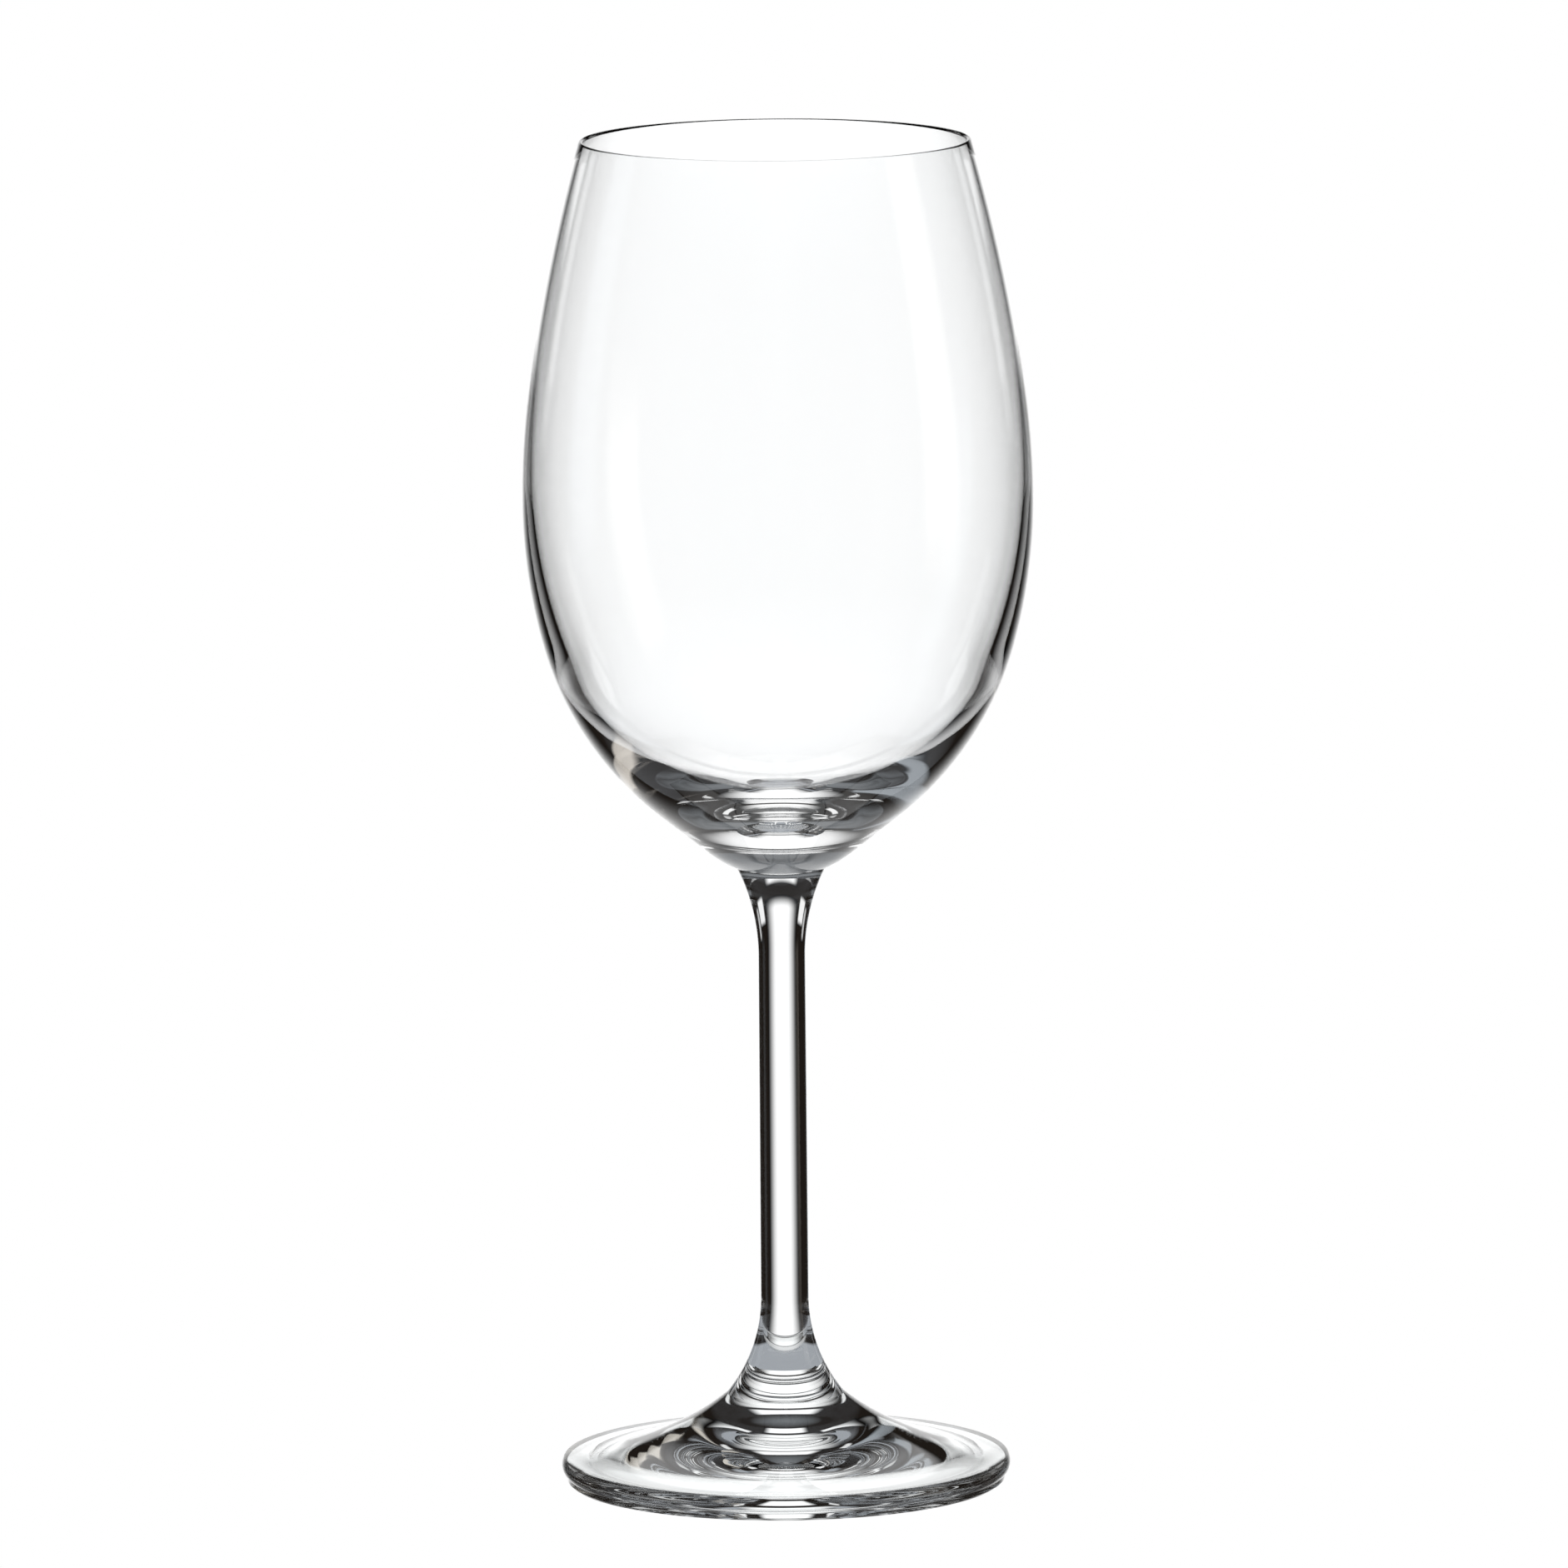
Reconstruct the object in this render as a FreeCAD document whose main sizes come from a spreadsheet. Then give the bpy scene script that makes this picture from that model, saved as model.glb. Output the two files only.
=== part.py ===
import FreeCAD, Part
import math
import os
import Sketcher

# A stemmed wine glass: bowl, drawn stem and foot, fused face to face on two flat welds.
# The origin is the centre of the circle the foot rests on; +Z is the axis of the glass.
# Lengths are millimetres, angles degrees. Levels inside a piece count up from its own base.

DRIVING_SIZES = {
    # foot
    "foot_height": 14.5,
    "foot_radius": 37.0,
    "rest_ring_outer": 35.8,
    "rest_ring_inner": 32.5,
    "dome_curve": 152.0,
    "hollow_curve": 20.0,
    "boss_curve": 20.0,
    "boss_level": 1.0,
    "toe_radius": 36.1,
    "toe_level": 0.3,
    "band_level": 1.1,
    "band_curve": 2.2,
    "band_centre_level": 2.75,
    "arris_level": 4.1,
    "arris_rounding": 0.35,
    "foot_slope_curve": 45.5,
    # stem
    "stem_length": 87.5,
    "stem_foot_radius": 9.65,
    "stem_lower_radius": 3.92,
    "stem_upper_radius": 3.83,
    "stem_head_radius": 7.25,
    "foot_flare_curve": 25.5,
    "head_flare_curve": 33.0,
    # bowl, outside
    "bowl_height": 120.0,
    "bowl_radius": 41.8,
    "belly_level": 61.0,
    "shoulder_level": 37.3,
    "upper_belly_curve": 133.0,
    "upper_wall_curve": 292.0,
    "lower_belly_curve": 89.6,
    "lower_wall_curve": 54.1,
    "cone_angle": 51.6,
    "nose_curve": 20.0,
    "rim_radius": 31.95,
    "rim_thickness": 0.86,
    "rim_rounding": 0.4,
    # bowl, inside
    "cavity_radius": 40.4,
    "cavity_belly_level": 64.5,
    "cavity_upper_belly_curve": 139.5,
    "cavity_upper_wall_curve": 299.0,
    "cavity_lower_curve": 81.7,
    "base_thickness": 10.0,
}

UP = FreeCAD.Vector(0, 0, 1)
ORIGIN = (-1, 1)
EPSILON = 1e-6


def make_sheet(doc):
    """Write the driving sizes to a spreadsheet, one aliased cell each."""
    sheet = doc.addObject("Spreadsheet::Sheet", "sizes")
    for row, (alias, value) in enumerate(DRIVING_SIZES.items(), start=1):
        sheet.set(f"A{row}", alias)
        sheet.set(f"B{row}", str(value))
        sheet.setAlias(f"B{row}", alias)
    doc.recompute()
    return sheet


def on_circle(centre, radius, angle):
    """Point of a circle; the angle is in radians, counted from the direction away from the axis."""
    return (centre[0] + radius * math.cos(angle), centre[1] + radius * math.sin(angle))


def circle_crossing(centre_a, radius_a, centre_b, radius_b, side):
    """One of the two points where two circles cross; side is +1 or -1."""
    dx = centre_b[0] - centre_a[0]
    dy = centre_b[1] - centre_a[1]
    gap = math.hypot(dx, dy)
    along = (gap ** 2 + radius_a ** 2 - radius_b ** 2) / (2 * gap)
    across = side * math.sqrt(radius_a ** 2 - along ** 2)
    return (
        centre_a[0] + (along * dx - across * dy) / gap,
        centre_a[1] + (along * dy + across * dx) / gap,
    )


class Outline:
    """A closed half-section in a body's XZ plane, drawn segment after segment."""

    def __init__(self, body, name):
        plane = next(item for item in body.Origin.OriginFeatures if item.Role == "XZ_Plane")
        self.sketch = body.newObject("Sketcher::SketchObject", name)
        self.sketch.AttachmentSupport = (plane, "")
        self.sketch.MapMode = "FlatFace"
        self.ends = []

    def _append(self, curve, first, last, smooth):
        index = self.sketch.addGeometry(curve, False)
        if self.ends:
            kind = "Tangent" if smooth else "Coincident"
            self.constrain(kind, index - 1, self.ends[-1][1], index, first)
        self.ends.append((first, last))
        return index

    def line(self, start, end, smooth=False):
        """Add a straight segment; smooth joins it tangentially to the one before."""
        segment = Part.LineSegment(FreeCAD.Vector(*start, 0), FreeCAD.Vector(*end, 0))
        return self._append(segment, 1, 2, smooth)

    def arc(self, centre, start, end, smooth=False):
        """Add the shorter arc from start to end; smooth joins it tangentially to the one before."""
        radius = math.hypot(start[0] - centre[0], start[1] - centre[1])
        angle_a = math.atan2(start[1] - centre[1], start[0] - centre[0])
        angle_b = math.atan2(end[1] - centre[1], end[0] - centre[0])
        turn = math.remainder(angle_b - angle_a, 2 * math.pi)
        circle = Part.Circle(FreeCAD.Vector(*centre, 0), UP, radius)
        if turn > 0:
            return self._append(Part.ArcOfCircle(circle, angle_a, angle_a + turn), 1, 2, smooth)
        return self._append(Part.ArcOfCircle(circle, angle_b, angle_b - turn), 2, 1, smooth)

    def constrain(self, *arguments):
        """Add a geometric constraint."""
        return self.sketch.addConstraint(Sketcher.Constraint(*arguments))

    def size(self, name, expression, *arguments):
        """Add a dimension and bind it to the sheet."""
        number = self.sketch.addConstraint(Sketcher.Constraint(*arguments))
        self.sketch.renameConstraint(number, name)
        self.sketch.setExpression(f"Constraints.{name}", expression)

    def radius(self, index, expression):
        """Bind the radius of an arc."""
        value = self.sketch.Geometry[index].Radius
        self.size(f"radius_{index}", expression, "Radius", index, value)

    def place(self, index, end, across=None, level=None):
        """Bind a point's distance from the axis, its level, or both; end 3 is an arc's centre."""
        position = self.ends[index][end - 1] if end < 3 else 3
        point = self.sketch.getPoint(index, position)
        if across:
            self.size(f"across_{index}_{end}", across, "DistanceX", *ORIGIN, index, position, point.x)
        if level:
            self.size(f"level_{index}_{end}", level, "DistanceY", *ORIGIN, index, position, point.y)

    def on_axis(self, index, end):
        """Hold a point on the axis of the glass."""
        position = self.ends[index][end - 1] if end < 3 else 3
        self.constrain("Vertical", *ORIGIN, index, position)

    def close(self):
        """Join the last segment to the first."""
        last = len(self.ends) - 1
        self.constrain("Coincident", last, self.ends[last][1], 0, self.ends[0][0])


def revolve(body, outline, name, kind="PartDesign::Revolution"):
    """Turn an outline a full circle about the axis, as material or as a cut."""
    feature = body.newObject(kind, name)
    feature.Profile = outline.sketch
    feature.ReferenceAxis = (outline.sketch, ["V_Axis"])
    feature.Angle = 360.0
    return feature


def round_edges(body, base, name, radii, level, expression):
    """Round the circular edges of base that have the given radii at the given level."""
    chosen = []
    for number, edge in enumerate(base.Shape.Edges, start=1):
        if edge.Degenerated or not isinstance(edge.Curve, Part.Circle):
            continue
        if abs(edge.Curve.Center.z - level) > EPSILON:
            continue
        if any(abs(edge.Curve.Radius - radius) < 1e-3 for radius in radii):
            chosen.append(f"Edge{number}")
    if len(chosen) != len(radii):
        raise RuntimeError(f"{name}: found {len(chosen)} of {len(radii)} edges")
    fillet = body.newObject("PartDesign::Fillet", name)
    fillet.Base = (base, chosen)
    fillet.setExpression("Radius", expression)
    return fillet


def make_foot(doc, size):
    """Foot: a shallow cone with a hollow curve on top; under it a dome with a low boss at its centre."""
    body = doc.addObject("PartDesign::Body", "foot")
    body.Label = "foot"
    band_centre = (size.foot_radius - size.band_curve, size.band_centre_level)
    band_low = (
        band_centre[0] + math.sqrt(size.band_curve ** 2 - (size.band_level - band_centre[1]) ** 2),
        size.band_level,
    )
    arris = (
        band_centre[0] + math.sqrt(size.band_curve ** 2 - (size.arris_level - band_centre[1]) ** 2),
        size.arris_level,
    )
    crown = (size.stem_foot_radius, size.foot_height)
    slope_centre = circle_crossing(crown, size.foot_slope_curve, arris, size.foot_slope_curve, 1)
    dome_centre = (0, -math.sqrt(size.dome_curve ** 2 - size.rest_ring_inner ** 2))
    boss_centre = (0, size.boss_level + size.boss_curve)
    hollow_centre = circle_crossing(
        dome_centre, size.dome_curve - size.hollow_curve,
        boss_centre, size.boss_curve + size.hollow_curve, -1,
    )
    boss_edge = on_circle(
        boss_centre, size.boss_curve,
        math.atan2(hollow_centre[1] - boss_centre[1], hollow_centre[0]),
    )
    hollow_edge = on_circle(
        dome_centre, size.dome_curve,
        math.atan2(hollow_centre[1] - dome_centre[1], hollow_centre[0]),
    )

    outline = Outline(body, "foot_section")
    boss = outline.arc(boss_centre, (0, size.boss_level), boss_edge)
    hollow = outline.arc(hollow_centre, boss_edge, hollow_edge, smooth=True)
    dome = outline.arc(dome_centre, hollow_edge, (size.rest_ring_inner, 0), smooth=True)
    ring = outline.line((size.rest_ring_inner, 0), (size.rest_ring_outer, 0))
    toe = outline.line((size.rest_ring_outer, 0), (size.toe_radius, size.toe_level))
    outline.line((size.toe_radius, size.toe_level), band_low)
    band = outline.arc(band_centre, band_low, arris)
    slope = outline.arc(slope_centre, arris, crown)
    weld = outline.line(crown, (0, size.foot_height))
    outline.line((0, size.foot_height), (0, size.boss_level))
    outline.close()
    outline.on_axis(boss, 1)
    outline.on_axis(boss, 3)
    outline.on_axis(dome, 3)
    outline.on_axis(weld, 2)
    outline.constrain("Horizontal", *ORIGIN, ring, 1)
    outline.constrain("Horizontal", ring)
    outline.constrain("Horizontal", weld)
    outline.place(boss, 1, level="sizes.boss_level")
    outline.radius(boss, "sizes.boss_curve")
    outline.radius(hollow, "sizes.hollow_curve")
    outline.radius(dome, "sizes.dome_curve")
    outline.place(ring, 1, across="sizes.rest_ring_inner")
    outline.place(ring, 2, across="sizes.rest_ring_outer")
    outline.place(toe, 2, across="sizes.toe_radius", level="sizes.toe_level")
    outline.radius(band, "sizes.band_curve")
    outline.place(band, 3, across="sizes.foot_radius - sizes.band_curve", level="sizes.band_centre_level")
    outline.place(band, 1, level="sizes.band_level")
    outline.place(band, 2, level="sizes.arris_level")
    outline.radius(slope, "sizes.foot_slope_curve")
    outline.place(weld, 1, across="sizes.stem_foot_radius", level="sizes.foot_height")

    turned = revolve(body, outline, "foot_turned")
    doc.recompute()
    round_edges(body, turned, "arris_round", [arris[0]], arris[1], "sizes.arris_rounding")
    return body


def make_stem(doc, size):
    """Stem: a slim, slightly tapered rod that flares down to the foot and up to the bowl."""
    body = doc.addObject("PartDesign::Body", "stem")
    body.Label = "stem"
    foot_edge = (size.stem_foot_radius, 0)
    head_edge = (size.stem_head_radius, size.stem_length)
    low_centre_r = size.stem_lower_radius + size.foot_flare_curve
    low_rise = math.sqrt(size.foot_flare_curve ** 2 - (low_centre_r - foot_edge[0]) ** 2)
    high_centre_r = size.stem_upper_radius + size.head_flare_curve
    high_drop = math.sqrt(size.head_flare_curve ** 2 - (high_centre_r - head_edge[0]) ** 2)
    low_neck = (size.stem_lower_radius, low_rise)
    high_neck = (size.stem_upper_radius, size.stem_length - high_drop)

    outline = Outline(body, "stem_section")
    base = outline.line((0, 0), foot_edge)
    low_flare = outline.arc((low_centre_r, low_rise), foot_edge, low_neck)
    rod = outline.line(low_neck, high_neck, smooth=True)
    high_flare = outline.arc((high_centre_r, high_neck[1]), high_neck, head_edge, smooth=True)
    head = outline.line(head_edge, (0, size.stem_length))
    outline.line((0, size.stem_length), (0, 0))
    outline.close()
    outline.constrain("Coincident", base, 1, *ORIGIN)
    outline.constrain("Horizontal", base)
    outline.constrain("Horizontal", head)
    outline.on_axis(head, 2)
    outline.place(base, 2, across="sizes.stem_foot_radius")
    outline.radius(low_flare, "sizes.foot_flare_curve")
    outline.place(rod, 1, across="sizes.stem_lower_radius")
    outline.place(rod, 2, across="sizes.stem_upper_radius")
    outline.radius(high_flare, "sizes.head_flare_curve")
    outline.place(head, 1, across="sizes.stem_head_radius", level="sizes.stem_length")

    revolve(body, outline, "stem_turned")
    body.setExpression(".Placement.Base.z", "sizes.foot_height")
    return body


def draw_bowl_outside(body, size):
    """Outer half-section: rounded nose, straight cone, two lower arcs, two upper arcs."""
    weld_edge = (size.stem_head_radius, 0)
    rim = (size.rim_radius, size.bowl_height)
    belly = (size.bowl_radius, size.belly_level)
    cone_turn = math.radians(size.cone_angle)
    lower_belly_centre = (size.bowl_radius - size.lower_belly_curve, size.belly_level)
    shoulder_turn = math.asin((size.shoulder_level - size.belly_level) / size.lower_belly_curve)
    shoulder = on_circle(lower_belly_centre, size.lower_belly_curve, shoulder_turn)
    lower_wall_centre = on_circle(shoulder, -size.lower_wall_curve, shoulder_turn)
    cone_top = on_circle(lower_wall_centre, size.lower_wall_curve, -cone_turn)
    # The nose arc touches the cone and passes through the weld edge: its centre is one nose
    # radius from both.
    inward = on_circle((0, 0), -size.nose_curve, -cone_turn)
    to_weld = (weld_edge[0] - cone_top[0] - inward[0], weld_edge[1] - cone_top[1] - inward[1])
    down_cone = (-math.sin(cone_turn), -math.cos(cone_turn))
    along = to_weld[0] * down_cone[0] + to_weld[1] * down_cone[1]
    off_square = to_weld[0] ** 2 + to_weld[1] ** 2 - along ** 2
    cone_length = along - math.sqrt(size.nose_curve ** 2 - off_square)
    cone_foot = (cone_top[0] + cone_length * down_cone[0], cone_top[1] + cone_length * down_cone[1])
    nose_centre = (cone_foot[0] + inward[0], cone_foot[1] + inward[1])
    upper_belly_centre = (size.bowl_radius - size.upper_belly_curve, size.belly_level)
    upper_wall_centre = circle_crossing(
        upper_belly_centre, size.upper_wall_curve - size.upper_belly_curve,
        rim, size.upper_wall_curve, 1)
    upper_turn = math.atan2(
        upper_belly_centre[1] - upper_wall_centre[1],
        upper_belly_centre[0] - upper_wall_centre[0])
    upper_join = on_circle(upper_belly_centre, size.upper_belly_curve, upper_turn)

    outline = Outline(body, "bowl_section")
    weld = outline.line((0, 0), weld_edge)
    nose = outline.arc(nose_centre, weld_edge, cone_foot)
    cone = outline.line(cone_foot, cone_top, smooth=True)
    lower_wall = outline.arc(lower_wall_centre, cone_top, shoulder, smooth=True)
    lower_belly = outline.arc(lower_belly_centre, shoulder, belly, smooth=True)
    upper_belly = outline.arc(upper_belly_centre, belly, upper_join, smooth=True)
    upper_wall = outline.arc(upper_wall_centre, upper_join, rim, smooth=True)
    mouth = outline.line(rim, (0, size.bowl_height))
    outline.line((0, size.bowl_height), (0, 0))
    outline.close()
    outline.constrain("Coincident", weld, 1, *ORIGIN)
    outline.constrain("Horizontal", weld)
    outline.constrain("Horizontal", mouth)
    outline.on_axis(mouth, 2)
    outline.place(weld, 2, across="sizes.stem_head_radius")
    outline.radius(nose, "sizes.nose_curve")
    outline.size("cone_angle", "90 - sizes.cone_angle", "Angle", cone, math.pi / 2 - cone_turn)
    outline.radius(lower_wall, "sizes.lower_wall_curve")
    outline.place(lower_wall, 2, level="sizes.shoulder_level")
    outline.radius(lower_belly, "sizes.lower_belly_curve")
    outline.place(lower_belly, 2, across="sizes.bowl_radius", level="sizes.belly_level")
    outline.place(lower_belly, 3, level="sizes.belly_level")
    outline.radius(upper_belly, "sizes.upper_belly_curve")
    outline.radius(upper_wall, "sizes.upper_wall_curve")
    outline.place(mouth, 1, across="sizes.rim_radius", level="sizes.bowl_height")
    return outline


def draw_cavity(body, size):
    """Inner half-section: rounded bottom, one lower arc, two upper arcs, open at the mouth."""
    lip = (size.rim_radius - size.rim_thickness, size.bowl_height)
    belly = (size.cavity_radius, size.cavity_belly_level)
    lower_centre = (size.cavity_radius - size.cavity_lower_curve, size.cavity_belly_level)
    # The bottom arc is centred on the axis and touches the lower arc from inside.
    depth = size.cavity_belly_level - size.base_thickness
    offset = -lower_centre[0]
    reach = size.cavity_lower_curve
    drop = (offset ** 2 - (reach - depth) ** 2) / (2 * (reach - depth))
    bottom_centre = (0, size.cavity_belly_level - drop)
    bottom_turn = math.atan2(-drop, offset)
    bottom_edge = on_circle(lower_centre, reach, bottom_turn)
    upper_belly_centre = (size.cavity_radius - size.cavity_upper_belly_curve, size.cavity_belly_level)
    upper_wall_centre = circle_crossing(
        upper_belly_centre, size.cavity_upper_wall_curve - size.cavity_upper_belly_curve,
        lip, size.cavity_upper_wall_curve, 1)
    upper_turn = math.atan2(
        upper_belly_centre[1] - upper_wall_centre[1],
        upper_belly_centre[0] - upper_wall_centre[0])
    upper_join = on_circle(upper_belly_centre, size.cavity_upper_belly_curve, upper_turn)

    outline = Outline(body, "cavity_section")
    bottom = outline.arc(bottom_centre, (0, size.base_thickness), bottom_edge)
    lower = outline.arc(lower_centre, bottom_edge, belly, smooth=True)
    upper_belly = outline.arc(upper_belly_centre, belly, upper_join, smooth=True)
    upper_wall = outline.arc(upper_wall_centre, upper_join, lip, smooth=True)
    mouth = outline.line(lip, (0, size.bowl_height))
    outline.line((0, size.bowl_height), (0, size.base_thickness))
    outline.close()
    outline.on_axis(bottom, 1)
    outline.on_axis(bottom, 3)
    outline.on_axis(mouth, 2)
    outline.constrain("Horizontal", mouth)
    outline.place(bottom, 1, level="sizes.base_thickness")
    outline.radius(lower, "sizes.cavity_lower_curve")
    outline.place(lower, 2, across="sizes.cavity_radius", level="sizes.cavity_belly_level")
    outline.place(lower, 3, level="sizes.cavity_belly_level")
    outline.radius(upper_belly, "sizes.cavity_upper_belly_curve")
    outline.radius(upper_wall, "sizes.cavity_upper_wall_curve")
    outline.place(
        mouth, 1, across="sizes.rim_radius - sizes.rim_thickness", level="sizes.bowl_height")
    return outline


def make_bowl(doc, size):
    """Bowl: turned solid, hollowed from the mouth, with a fire-polished lip."""
    body = doc.addObject("PartDesign::Body", "bowl")
    body.Label = "bowl"
    revolve(body, draw_bowl_outside(body, size), "bowl_turned")
    doc.recompute()
    hollow = revolve(body, draw_cavity(body, size), "bowl_hollow", "PartDesign::Groove")
    doc.recompute()
    lip_radii = [size.rim_radius, size.rim_radius - size.rim_thickness]
    round_edges(body, hollow, "lip_round", lip_radii, size.bowl_height, "sizes.rim_rounding")
    body.setExpression(".Placement.Base.z", "sizes.foot_height + sizes.stem_length")
    return body


def check(doc, bodies):
    """Stop unless every object recomputed and every sub-part is one valid solid."""
    for item in doc.Objects:
        if "Invalid" in item.State or "Error" in item.State:
            raise RuntimeError(f"{item.Label} failed: {item.State}")
    for body in bodies:
        shape = body.Shape
        if shape.isNull() or not shape.isValid() or len(shape.Solids) != 1:
            raise RuntimeError(f"{body.Label} is not one valid solid")


def main():
    doc = FreeCAD.newDocument("wine_glass")
    size = make_sheet(doc)
    bodies = [make_foot(doc, size), make_stem(doc, size), make_bowl(doc, size)]
    doc.recompute()
    check(doc, bodies)
    os.makedirs("parts", exist_ok=True)
    for body in bodies:
        body.Shape.exportStep(f"parts/{body.Label}.step")
        box = body.Shape.optimalBoundingBox(False)
        print(f"{body.Label}: {box.ZMin:.2f} to {box.ZMax:.2f} mm, volume {body.Shape.Volume:.0f} mm3")


main()
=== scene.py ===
import bpy
import math
import numpy as np
from mathutils import Matrix, Vector


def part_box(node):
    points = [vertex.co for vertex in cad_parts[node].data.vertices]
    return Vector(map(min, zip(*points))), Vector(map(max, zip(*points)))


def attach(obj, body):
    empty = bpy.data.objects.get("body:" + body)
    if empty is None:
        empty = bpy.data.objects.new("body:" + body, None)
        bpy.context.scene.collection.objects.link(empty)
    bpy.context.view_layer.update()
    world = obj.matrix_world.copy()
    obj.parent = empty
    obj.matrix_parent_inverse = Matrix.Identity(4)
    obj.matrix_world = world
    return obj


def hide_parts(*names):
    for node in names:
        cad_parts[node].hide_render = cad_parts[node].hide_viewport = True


# Clear stemmed wine glass on a pale table, against white. Soft boxes that only the glass sees
# shape its edges; they are fixed to the camera and turn with it.
# Metres; +Z is the axis of the glass; the camera stands on the -Y side.

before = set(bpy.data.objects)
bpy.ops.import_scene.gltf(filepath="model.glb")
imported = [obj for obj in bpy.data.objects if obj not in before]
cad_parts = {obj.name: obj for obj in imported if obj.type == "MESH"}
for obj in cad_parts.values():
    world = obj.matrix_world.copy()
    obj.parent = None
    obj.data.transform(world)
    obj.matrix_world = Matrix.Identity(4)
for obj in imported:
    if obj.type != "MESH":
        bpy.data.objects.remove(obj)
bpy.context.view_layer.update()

MM = 0.001
MICRON = 1e-6

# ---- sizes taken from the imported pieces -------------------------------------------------
BOWL_BASE, BOWL_TOP = (corner.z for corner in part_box("bowl"))
STEM_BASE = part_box("stem")[0].z
FOOT_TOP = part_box("foot")[1].z

# radii of the two welds
HEAD_WELD = 7.25 * MM
FOOT_WELD = 9.65 * MM


# ---- half-sections: points in the (distance from axis, height) plane --------------------
def polar(centre, radius, angle):
    """The point at an angle, in radians, on a circle."""
    return (centre[0] + radius * math.cos(angle), centre[1] + radius * math.sin(angle))


def arc(centre, radius, start, end, steps):
    """Points of an arc; angles in radians."""
    return [polar(centre, radius, angle) for angle in np.linspace(start, end, steps + 1)]


def line(start, end, steps):
    """Points of a straight run."""
    run, rise = end[0] - start[0], end[1] - start[1]
    return [(start[0] + run * k / steps, start[1] + rise * k / steps) for k in range(steps + 1)]


def circle_crossing(centre_a, radius_a, centre_b, radius_b, side):
    """One of the two points where two circles cross; side is +1 or -1."""
    dx, dy = centre_b[0] - centre_a[0], centre_b[1] - centre_a[1]
    gap = math.hypot(dx, dy)
    along = (gap ** 2 + radius_a ** 2 - radius_b ** 2) / (2 * gap)
    across = side * math.sqrt(radius_a ** 2 - along ** 2)
    return (
        centre_a[0] + (along * dx - across * dy) / gap,
        centre_a[1] + (along * dy + across * dx) / gap,
    )


def heading(origin, target):
    """Angle of the direction from one point to another."""
    return math.atan2(target[1] - origin[1], target[0] - origin[0])


def chain(*runs):
    """Join runs of points that meet end to end."""
    points = list(runs[0])
    for run in runs[1:]:
        points += run[1:]
    return points


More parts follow.
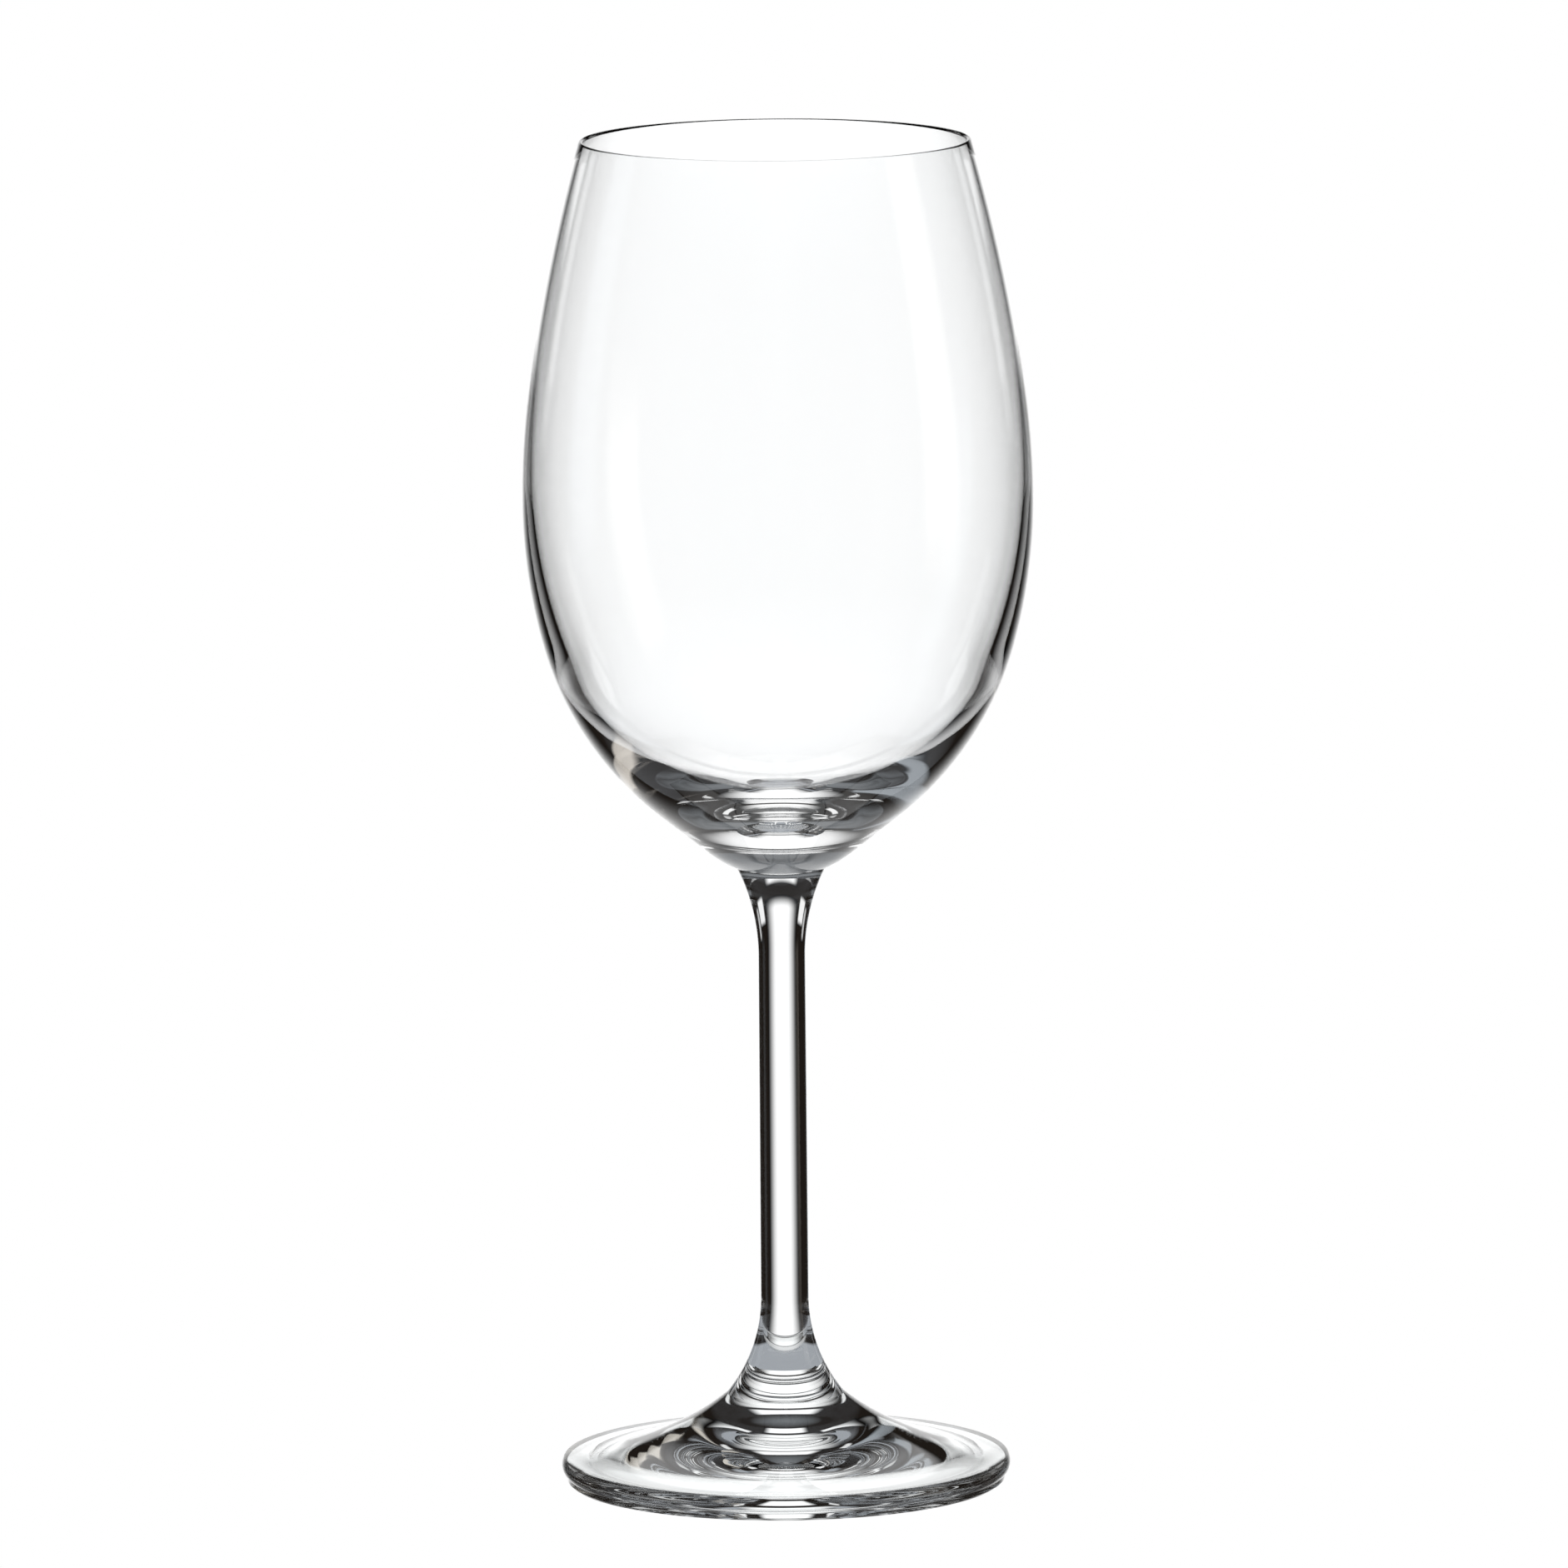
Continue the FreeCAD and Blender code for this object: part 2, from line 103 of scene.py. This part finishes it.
def bowl_section():
    """Weld disc, nose, cone, lower and upper wall, round lip, and the cavity back to the axis."""
    base, top = BOWL_BASE, BOWL_TOP
    # outside: the lower wall is two arcs that meet at the shoulder
    bowl_radius, belly_height, shoulder_height = 41.8 * MM, 61.0 * MM, 37.3 * MM
    lower_belly_curve, lower_wall_curve = 89.6 * MM, 54.1 * MM
    cone_turn = math.radians(51.6)
    nose_curve = 20.0 * MM
    belly = base + belly_height
    shoulder_turn = -math.asin((belly_height - shoulder_height) / lower_belly_curve)
    lower_belly_centre = (bowl_radius - lower_belly_curve, belly)
    lower_wall_centre = polar(
        lower_belly_centre, lower_belly_curve - lower_wall_curve, shoulder_turn)
    # the cone runs down from the lower wall until the nose arc can reach the edge of the weld
    cone_top = polar(lower_wall_centre, lower_wall_curve, -cone_turn)
    inward = (-nose_curve * math.cos(cone_turn), nose_curve * math.sin(cone_turn))
    down = (-math.sin(cone_turn), -math.cos(cone_turn))
    gap = (HEAD_WELD - cone_top[0] - inward[0], base - cone_top[1] - inward[1])
    along = gap[0] * down[0] + gap[1] * down[1]
    cone_length = along - math.sqrt(nose_curve ** 2 - (gap[0] ** 2 + gap[1] ** 2 - along ** 2))
    cone_foot = (cone_top[0] + cone_length * down[0], cone_top[1] + cone_length * down[1])
    nose_centre = (cone_foot[0] + inward[0], cone_foot[1] + inward[1])
    nose_turn = heading(nose_centre, (HEAD_WELD, base))
    # outside: the upper wall
    upper_belly_curve, upper_wall_curve = 133.0 * MM, 292.0 * MM
    rim = (31.95 * MM, top)
    upper_belly_centre = (bowl_radius - upper_belly_curve, belly)
    upper_wall_centre = circle_crossing(
        upper_belly_centre, upper_wall_curve - upper_belly_curve, rim, upper_wall_curve, 1)
    upper_turn = heading(upper_wall_centre, upper_belly_centre)
    # lip: a half round as thick as the wall
    rim_thickness = 0.86 * MM
    half_lip = 0.5 * rim_thickness * math.cos(heading(upper_wall_centre, rim))
    lip_turn = math.asin((top - half_lip - upper_wall_centre[1]) / (upper_wall_curve - half_lip))
    lip_centre = polar(upper_wall_centre, upper_wall_curve - half_lip, lip_turn)
    # inside
    cavity_radius, cavity_belly = 40.4 * MM, base + 64.5 * MM
    cavity_low_curve, floor_level = 81.7 * MM, base + 10.0 * MM
    cavity_belly_curve, cavity_wall_curve = 139.5 * MM, 299.0 * MM
    lower_centre = (cavity_radius - cavity_low_curve, cavity_belly)
    spare = cavity_low_curve - (cavity_belly - floor_level)
    drop = (lower_centre[0] ** 2 - spare ** 2) / (2 * spare)
    floor_centre = (0.0, cavity_belly - drop)
    floor_curve = floor_centre[1] - floor_level
    floor_turn = heading(lower_centre, floor_centre)
    inner_belly_centre = (cavity_radius - cavity_belly_curve, cavity_belly)
    lip_inside = polar(lip_centre, -half_lip, lip_turn)
    inner_wall_centre = circle_crossing(
        inner_belly_centre, cavity_wall_curve - cavity_belly_curve, lip_inside, cavity_wall_curve, 1)
    inner_turn = heading(inner_wall_centre, inner_belly_centre)
    inner_lip_turn = heading(inner_wall_centre, lip_inside)
    return chain(
        [(0.0, base), (HEAD_WELD, base)],
        arc(nose_centre, nose_curve, nose_turn, -cone_turn, steps=14),
        line(cone_foot, cone_top, steps=8),
        arc(lower_wall_centre, lower_wall_curve, -cone_turn, shoulder_turn, steps=26),
        arc(lower_belly_centre, lower_belly_curve, shoulder_turn, 0.0, steps=14),
        arc(upper_belly_centre, upper_belly_curve, 0.0, upper_turn, steps=10),
        arc(upper_wall_centre, upper_wall_curve, upper_turn, lip_turn, steps=14),
        arc(lip_centre, half_lip, lip_turn, lip_turn + math.pi, steps=14),
        arc(inner_wall_centre, cavity_wall_curve, inner_lip_turn, inner_turn, steps=14),
        arc(inner_belly_centre, cavity_belly_curve, inner_turn, 0.0, steps=10),
        arc(lower_centre, cavity_low_curve, 0.0, floor_turn, steps=22),
        arc(floor_centre, floor_curve, floor_turn, -math.pi / 2, steps=40),
    )


def stem_section():
    """Weld disc on the foot, flare, slim rod, flare, weld disc under the bowl."""
    base, top = STEM_BASE, BOWL_BASE
    low_radius, low_curve = 3.92 * MM, 25.5 * MM
    high_radius, high_curve = 3.83 * MM, 33.0 * MM
    low_reach = low_radius + low_curve
    low_rise = math.sqrt(low_curve ** 2 - (low_reach - FOOT_WELD) ** 2)
    low_centre = (low_reach, base + low_rise)
    high_reach = high_radius + high_curve
    high_drop = math.sqrt(high_curve ** 2 - (high_reach - HEAD_WELD) ** 2)
    high_centre = (high_reach, top - high_drop)
    low_turn = heading(low_centre, (FOOT_WELD, base)) + 2 * math.pi
    high_turn = heading(high_centre, (HEAD_WELD, top))
    return chain(
        [(0.0, base), (FOOT_WELD, base)],
        arc(low_centre, low_curve, low_turn, math.pi, steps=24),
        line((low_radius, low_centre[1]), (high_radius, high_centre[1]), steps=30),
        arc(high_centre, high_curve, math.pi, high_turn, steps=20),
        [(HEAD_WELD, top), (0.0, top)],
    )


def foot_section():
    """Domed underside, resting ring, stepped edge, hollow slope and weld disc."""
    foot_radius = 37.0 * MM
    ring_inner, ring_outer = 32.5 * MM, 35.8 * MM
    toe = (36.1 * MM, 0.3 * MM)
    # underside: a boss at the centre, a hollow round it, a shallow dome out to the ring
    dome_curve, hollow_curve, boss_curve, boss_level = 152.0 * MM, 20.0 * MM, 20.0 * MM, 1.0 * MM
    dome_centre = (0.0, -math.sqrt(dome_curve ** 2 - ring_inner ** 2))
    boss_centre = (0.0, boss_level + boss_curve)
    hollow_centre = circle_crossing(
        dome_centre, dome_curve - hollow_curve, boss_centre, boss_curve + hollow_curve, -1)
    boss_turn = heading(boss_centre, hollow_centre)
    dome_turn = heading(dome_centre, hollow_centre)
    ring_turn = heading(dome_centre, (ring_inner, 0.0))
    # edge: a rounded band that bulges out to the full radius
    band_curve, band_low, band_middle, band_high = 2.2 * MM, 1.1 * MM, 2.75 * MM, 4.1 * MM
    band_centre = (foot_radius - band_curve, band_middle)
    band_low_turn = math.asin((band_low - band_middle) / band_curve)
    band_high_turn = math.asin((band_high - band_middle) / band_curve)
    # slope: one hollow arc from the top of the band up to the weld
    slope_curve, arris_curve = 45.5 * MM, 0.35 * MM
    crown = (FOOT_WELD, FOOT_TOP)
    arris = polar(band_centre, band_curve, band_high_turn)
    slope_centre = circle_crossing(crown, slope_curve, arris, slope_curve, 1)
    # the arris is rounded by an arc inside the band circle and outside the slope circle
    round_centres = [
        circle_crossing(
            band_centre, band_curve - arris_curve, slope_centre, slope_curve + arris_curve, side)
        for side in (1, -1)
    ]
    round_centre = min(round_centres, key=lambda point: math.dist(point, arris))
    round_low = heading(band_centre, round_centre)
    round_high = heading(round_centre, slope_centre)
    slope_start = heading(slope_centre, round_centre)
    slope_end = heading(slope_centre, crown)
    return chain(
        arc(boss_centre, boss_curve, -math.pi / 2, boss_turn, steps=16),
        arc(hollow_centre, hollow_curve, boss_turn + math.pi, dome_turn, steps=24),
        arc(dome_centre, dome_curve, dome_turn, ring_turn, steps=24),
        [(ring_inner, 0.0), (ring_outer, 0.0), toe],
        line(toe, polar(band_centre, band_curve, band_low_turn), steps=3),
        arc(band_centre, band_curve, band_low_turn, round_low, steps=14),
        arc(round_centre, arris_curve, round_low, round_high, steps=6),
        arc(slope_centre, slope_curve, slope_start, slope_end, steps=40),
        [crown, (0.0, FOOT_TOP)],
    )


# ---- turned meshes ----------------------------------------------------------------------
SEGMENTS = 384
SHARP_TURN = math.radians(22)
ON_AXIS = 1e-7
SAME_LEVEL = 1e-7
FLAT = 1e-9
GLASS_SLOT, WELD_SLOT = 0, 1


def sharp_points(section):
    """Places in a section where its direction turns too fast to be shaded smooth."""
    places = set()
    for k in range(1, len(section) - 1):
        before = heading(section[k - 1], section[k])
        after = heading(section[k], section[k + 1])
        if abs(math.remainder(after - before, 2 * math.pi)) > SHARP_TURN:
            places.add(k)
    return places


def turned(name, section, weld_levels, materials):
    """Closed mesh of a half-section turned about the axis; weld discs take the second material."""
    angles = np.arange(SEGMENTS) * 2 * math.pi / SEGMENTS
    cosines, sines = np.cos(angles), np.sin(angles)
    vertices, rings = [], []
    for radius, level in section:
        if radius < ON_AXIS:
            rings.append([len(vertices)] * SEGMENTS)
            vertices.append((0.0, 0.0, level))
            continue
        rings.append(list(range(len(vertices), len(vertices) + SEGMENTS)))
        vertices += [(radius * c, radius * s, level) for c, s in zip(cosines, sines)]
    faces, slots = [], []
    for k in range(len(section) - 1):
        lower, upper = rings[k], rings[k + 1]
        level = section[k][1]
        flat = abs(level - section[k + 1][1]) < FLAT
        weld = flat and any(abs(level - weld_level) < SAME_LEVEL for weld_level in weld_levels)
        for i in range(SEGMENTS):
            j = (i + 1) % SEGMENTS
            corners = [lower[i], lower[j], upper[j], upper[i]]
            faces.append([v for n, v in enumerate(corners) if v not in corners[:n]])
            slots.append(WELD_SLOT if weld else GLASS_SLOT)
    mesh = bpy.data.meshes.new(name)
    mesh.from_pydata(vertices, [], faces)
    mesh.polygons.foreach_set("material_index", slots)
    mesh.polygons.foreach_set("use_smooth", [True] * len(faces))
    ring_of = {v: k for k, ring in enumerate(rings) for v in ring}
    sharp = sharp_points(section)
    for edge in mesh.edges:
        a, b = edge.vertices
        if ring_of[a] == ring_of[b] and ring_of[a] in sharp:
            edge.use_edge_sharp = True
    mesh.validate()
    for material in materials:
        mesh.materials.append(material)
    piece = bpy.data.objects.new(name, mesh)
    bpy.context.scene.collection.objects.link(piece)
    return piece


# ---- shader helpers ---------------------------------------------------------------------
def empty_material(name):
    """A material, its nodes, its links and the surface socket that waits for a shader."""
    material = bpy.data.materials.new(name)
    material.use_nodes = True
    nodes, links = material.node_tree.nodes, material.node_tree.links
    nodes.clear()
    output = nodes.new("ShaderNodeOutputMaterial")
    return material, nodes, links, output.inputs["Surface"]


def calculated(nodes, links, operation, *values):
    """Result of a Math node; each value is a number or another node's output."""
    node = nodes.new("ShaderNodeMath")
    node.operation = operation
    for socket, value in zip(node.inputs, values):
        if isinstance(value, (int, float)):
            socket.default_value = value
        else:
            links.new(value, socket)
    return node.outputs[0]


def mapped(nodes, links, value, start, end, low=0.0, high=1.0, interpolation="LINEAR"):
    """The value, taken from the range start to end into the range low to high."""
    node = nodes.new("ShaderNodeMapRange")
    node.interpolation_type = interpolation
    node.inputs["From Min"].default_value = start
    node.inputs["From Max"].default_value = end
    node.inputs["To Min"].default_value = low
    node.inputs["To Max"].default_value = high
    links.new(value, node.inputs["Value"])
    return node.outputs[0]


def coordinates(nodes, links, kind):
    """X, Y and Z of a texture coordinate."""
    split = nodes.new("ShaderNodeSeparateXYZ")
    links.new(nodes.new("ShaderNodeTexCoord").outputs[kind], split.inputs[0])
    return split.outputs


def stretched_noise(nodes, links, waves, detail):
    """Noise over the object, with its own waves per metre along x, y and z."""
    stretch = nodes.new("ShaderNodeMapping")
    stretch.inputs["Scale"].default_value = waves
    links.new(nodes.new("ShaderNodeTexCoord").outputs["Object"], stretch.inputs["Vector"])
    noise = nodes.new("ShaderNodeTexNoise")
    noise.inputs["Scale"].default_value = 1.0
    noise.inputs["Detail"].default_value = detail
    links.new(stretch.outputs["Vector"], noise.inputs["Vector"])
    return noise.outputs["Fac"]


# ---- materials --------------------------------------------------------------------------
GLASS_IOR = 1.52
CLEAR = (0.992, 0.998, 1.0)
SEA_GREEN = (0.965, 0.99, 0.99)
# the tint comes and goes in clouds; where it is palest, this share of it is left
CLOUD_WAVES, CLOUD_DETAIL = (30, 30, 30), 3
CLOUD_START, CLOUD_END = 0.3, 0.7
PALEST_SHARE = 0.6
# smears of slight roughness, where their noise is above the start
SMEAR_WAVES, SMEAR_DETAIL = (90, 90, 50), 4
SMEAR_START, SMEAR_END = 0.45, 0.75
ROUGHEST = 0.004
SWAY_DETAIL = 1
MARKS_DETAIL = 3
# the bowl's sway is in its thick base: it fades out over the calming, up to this height
BOWL_CALM_HEIGHT = 34 * MM
CALMING = 16 * MM


def glass_material(name, tint, marks, mark_height, sway, sway_height, calm_level=None):
    """Clear glass. Marks are the fine lines the tool left, sway the slow unevenness of the surface;
    each has its waves per metre along x, y and z, and its height in metres. Above the calm level
    the sway has died away."""
    material = bpy.data.materials.new(name)
    material.use_nodes = True
    nodes, links = material.node_tree.nodes, material.node_tree.links
    shader = nodes["Principled BSDF"]
    shader.inputs["IOR"].default_value = GLASS_IOR
    shader.inputs["Transmission Weight"].default_value = 1.0
    # tint
    palest = tuple(1 - PALEST_SHARE * (1 - c) for c in tint)
    colour = nodes.new("ShaderNodeValToRGB")
    for stop, place, shade in zip(
            colour.color_ramp.elements, (CLOUD_START, CLOUD_END), (tint, palest)):
        stop.position = place
        stop.color = (*shade, 1.0)
    links.new(stretched_noise(nodes, links, CLOUD_WAVES, CLOUD_DETAIL), colour.inputs[0])
    links.new(colour.outputs[0], shader.inputs["Base Color"])
    # polish
    smear = stretched_noise(nodes, links, SMEAR_WAVES, SMEAR_DETAIL)
    links.new(
        mapped(nodes, links, smear, SMEAR_START, SMEAR_END, 0.0, ROUGHEST),
        shader.inputs["Roughness"])
    # relief
    swaying = stretched_noise(nodes, links, sway, SWAY_DETAIL)
    if calm_level is not None:
        level = coordinates(nodes, links, "Object")["Z"]
        strength = mapped(
            nodes, links, level, calm_level, calm_level - CALMING, interpolation="SMOOTHSTEP")
        swaying = calculated(nodes, links, "MULTIPLY", swaying, strength)
    marked = stretched_noise(nodes, links, marks, MARKS_DETAIL)
    normal = None
    for relief, height in ((swaying, sway_height), (marked, mark_height)):
        bump = nodes.new("ShaderNodeBump")
        bump.inputs["Strength"].default_value = 1.0
        bump.inputs["Distance"].default_value = height
        links.new(relief, bump.inputs["Height"])
        if normal is not None:
            links.new(normal, bump.inputs["Normal"])
        normal = bump.outputs["Normal"]
    links.new(normal, shader.inputs["Normal"])
    return material


def weld_material():
    """The fused face between two pieces: light passes as if the glass were one."""
    material, nodes, links, surface = empty_material("fused_weld")
    links.new(nodes.new("ShaderNodeBsdfTransparent").outputs[0], surface)
    return material


def floor_material():
    """An evenly bright white table."""
    material, nodes, links, surface = empty_material("floor")
    glow = nodes.new("ShaderNodeEmission")
    glow.inputs["Color"].default_value = (1.0, 1.0, 1.0, 1.0)
    glow.inputs["Strength"].default_value = 1.0
    links.new(glow.outputs[0], surface)
    return material


def soft_box_material(name, colour, strength, edge_x, edge_y):
    """Glow that fades to nothing at the edges; edge is the share of the half-width that fades."""
    material, nodes, links, surface = empty_material(name)
    place = coordinates(nodes, links, "Generated")
    power = strength
    for axis, edge in (("X", edge_x), ("Y", edge_y)):
        # from -1 at one edge of the box to 1 at the other
        across = calculated(nodes, links, "MULTIPLY_ADD", place[axis], 2.0, -1.0)
        away = calculated(nodes, links, "ABSOLUTE", across)
        fade = mapped(nodes, links, away, 1.0, 1.0 - edge, interpolation="SMOOTHSTEP")
        power = calculated(nodes, links, "MULTIPLY", fade, power)
    glow = nodes.new("ShaderNodeEmission")
    glow.inputs["Color"].default_value = (*colour, 1.0)
    links.new(power, glow.inputs["Strength"])
    links.new(glow.outputs[0], surface)
    return material


# ---- pieces -----------------------------------------------------------------------------
blown = glass_material(
    "blown_glass", CLEAR, marks=(20, 20, 160), mark_height=0.4 * MICRON,
    sway=(60, 60, 90), sway_height=60 * MICRON, calm_level=BOWL_BASE + BOWL_CALM_HEIGHT)
drawn = glass_material(
    "drawn_glass", CLEAR, marks=(500, 500, 8), mark_height=0.5 * MICRON,
    sway=(90, 90, 12), sway_height=2 * MICRON)
pressed = glass_material(
    "pressed_glass", SEA_GREEN, marks=(25, 25, 900), mark_height=3 * MICRON,
    sway=(40, 40, 60), sway_height=20 * MICRON)
weld = weld_material()
pieces = {
    "bowl_glass": ("bowl", bowl_section(), (BOWL_BASE,), blown),
    "stem_glass": ("stem", stem_section(), (STEM_BASE, BOWL_BASE), drawn),
    "foot_glass": ("foot", foot_section(), (FOOT_TOP,), pressed),
}
for name, (node, section, weld_levels, glass) in pieces.items():
    piece = turned(name, section, weld_levels, (glass, weld))
    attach(piece, "root")
    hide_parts(node)

# ---- camera: a long lens, above the rim and looking slightly down -----------------------
CAMERA_DISTANCE = 2.536
CAMERA_HEIGHT = 0.500
AIM = Vector((0.0006, 0.0, 0.1158))
SENSOR_WIDTH = 36.0
LENS_LENGTH = 359.3
CAMERA_ROLL = math.radians(-0.5)
NEAREST, FURTHEST = 0.05, 30.0


def long_lens_camera():
    """The scene's camera, aimed at the middle of the glass and turned by its small roll."""
    data = bpy.data.cameras.new("camera")
    data.sensor_width = SENSOR_WIDTH
    data.lens = LENS_LENGTH
    data.clip_start = NEAREST
    data.clip_end = FURTHEST
    camera = bpy.data.objects.new("camera", data)
    bpy.context.scene.collection.objects.link(camera)
    camera.location = (0.0, -CAMERA_DISTANCE, CAMERA_HEIGHT)
    look = (AIM - camera.location).to_track_quat("-Z", "Y")
    camera.rotation_mode = "QUATERNION"
    camera.rotation_quaternion = look @ Matrix.Rotation(CAMERA_ROLL, 4, "Z").to_quaternion()
    bpy.context.scene.camera = camera
    bpy.context.view_layer.update()
    return camera


camera = long_lens_camera()

# ---- studio -----------------------------------------------------------------------------
WARM = (1.0, 0.93, 0.84)
COOL = (0.86, 0.93, 1.0)
WHITE = (1.0, 1.0, 1.0)
TABLE_GLOW = (0.38, 0.40, 0.43)
ROOM_DARK = (0.013, 0.010, 0.008)
# colour of the room by height: 0 is straight down, 0.5 level and 1 straight up
ROOM = (
    (0.00, TABLE_GLOW),
    (0.19, TABLE_GLOW),
    (0.26, ROOM_DARK),
    (0.85, ROOM_DARK),
    (0.95, (0.15, 0.16, 0.17)),
    (1.00, (0.25, 0.26, 0.27)),
)


def sky():
    """White where the camera looks straight at it; for light in or off the glass, a dim room
    between a bright table and a faint ceiling."""
    world = bpy.data.worlds.new("studio")
    bpy.context.scene.world = world
    world.use_nodes = True
    nodes, links = world.node_tree.nodes, world.node_tree.links
    nodes.clear()
    ramp = nodes.new("ShaderNodeValToRGB")
    stops = ramp.color_ramp.elements
    stops.remove(stops[1])
    for k, (place, colour) in enumerate(ROOM):
        stop = stops[0] if k == 0 else stops.new(place)
        stop.position = place
        stop.color = (*colour, 1.0)
    rise = coordinates(nodes, links, "Generated")["Z"]
    links.new(mapped(nodes, links, rise, -1.0, 1.0), ramp.inputs[0])
    room = nodes.new("ShaderNodeBackground")
    links.new(ramp.outputs[0], room.inputs["Color"])
    backdrop = nodes.new("ShaderNodeBackground")
    backdrop.inputs["Color"].default_value = (*WHITE, 1.0)
    path = nodes.new("ShaderNodeLightPath")
    mix = nodes.new("ShaderNodeMixShader")
    output = nodes.new("ShaderNodeOutputWorld")
    links.new(path.outputs["Is Camera Ray"], mix.inputs[0])
    links.new(room.outputs[0], mix.inputs[1])
    links.new(backdrop.outputs[0], mix.inputs[2])
    links.new(mix.outputs[0], output.inputs["Surface"])


def rectangle(name, half_x, half_y, material):
    """A flat rectangle about its own origin."""
    corners = [(-half_x, -half_y, 0), (half_x, -half_y, 0), (half_x, half_y, 0), (-half_x, half_y, 0)]
    mesh = bpy.data.meshes.new(name)
    mesh.from_pydata(corners, [], [(0, 1, 2, 3)])
    mesh.materials.append(material)
    panel = bpy.data.objects.new(name, mesh)
    bpy.context.scene.collection.objects.link(panel)
    return panel


FLOOR_HALF = 6.0
FLOOR_DROP = 0.2 * MM
# the soft boxes stand round this point, all at one distance
MIDDLE = Vector((0, 0, 0.11))
BOX_DISTANCE = 3.0


def table():
    """White floor just under the foot, seen only by the camera."""
    floor = rectangle("floor", FLOOR_HALF, FLOOR_HALF, floor_material())
    floor.location.z = -FLOOR_DROP
    floor.visible_transmission = False
    floor.visible_glossy = False
    floor.visible_diffuse = False


def soft_box(name, bearing, elevation, width, height, strength, colour=WHITE, edge=(0.5, 0.3)):
    """A soft box seen only by light in or off the glass. Bearing is counted from straight behind
    the glass, positive to the right; it, elevation, width and height are in degrees, as seen
    from the glass. Edge is the share of the half-width and half-height that fades out."""
    half_x = BOX_DISTANCE * math.tan(math.radians(width / 2))
    half_y = BOX_DISTANCE * math.tan(math.radians(height / 2))
    box = rectangle(name, half_x, half_y, soft_box_material(name, colour, strength, *edge))
    turn, rise = math.radians(bearing), math.radians(elevation)
    away = Vector((math.sin(turn) * math.cos(rise), math.cos(turn) * math.cos(rise), math.sin(rise)))
    facing = (-away).to_track_quat("Z", "Y").to_matrix().to_4x4()
    box.matrix_world = Matrix.Translation(MIDDLE + BOX_DISTANCE * away) @ facing
    box.visible_camera = False
    return box


def soft_box_pair(name, bearing, *settings, **choices):
    """The same soft box to the left and to the right."""
    return [
        soft_box("left_" + name, -bearing, *settings, **choices),
        soft_box("right_" + name, bearing, *settings, **choices),
    ]


def fix_to_camera(boxes):
    """Hang the soft boxes on the camera where they stand, so that every view is lit alike."""
    bpy.context.view_layer.update()
    for box in boxes:
        world_matrix = box.matrix_world.copy()
        box.parent = camera
        box.matrix_parent_inverse = camera.matrix_world.inverted()
        box.matrix_world = world_matrix


sky()
table()
fix_to_camera([
    soft_box("back_light", 0, -25, 56, 76, 1.17, edge=(0.75, 0.2)),
    soft_box("table_light", 0, -72, 60, 20, 0.8, edge=(0.4, 0.2)),
    soft_box("high_light", 0, 31, 36, 24, 1.15, edge=(0.4, 0.3)),
    soft_box("warm_fill", 100, 5, 24, 50, 0.7, WARM, edge=(0.4, 0.4)),
    soft_box("cool_fill", -80, 5, 24, 50, 0.4, COOL, edge=(0.6, 0.4)),
    *soft_box_pair("kicker", 47, 5, 10, 18, 0.6, edge=(0.6, 0.4)),
    *soft_box_pair("rim_light", 34, 9, 16, 14, 1.0, edge=(0.4, 0.4)),
])

# ---- light paths long enough for thick glass --------------------------------------------
MAX_BOUNCES = 40
scene = bpy.context.scene
scene.view_settings.view_transform = "Standard"
scene.view_settings.look = "None"
scene.cycles.max_bounces = MAX_BOUNCES
scene.cycles.transmission_bounces = MAX_BOUNCES
scene.cycles.glossy_bounces = MAX_BOUNCES
scene.cycles.transparent_max_bounces = MAX_BOUNCES
scene.cycles.caustics_refractive = True
scene.cycles.caustics_reflective = True
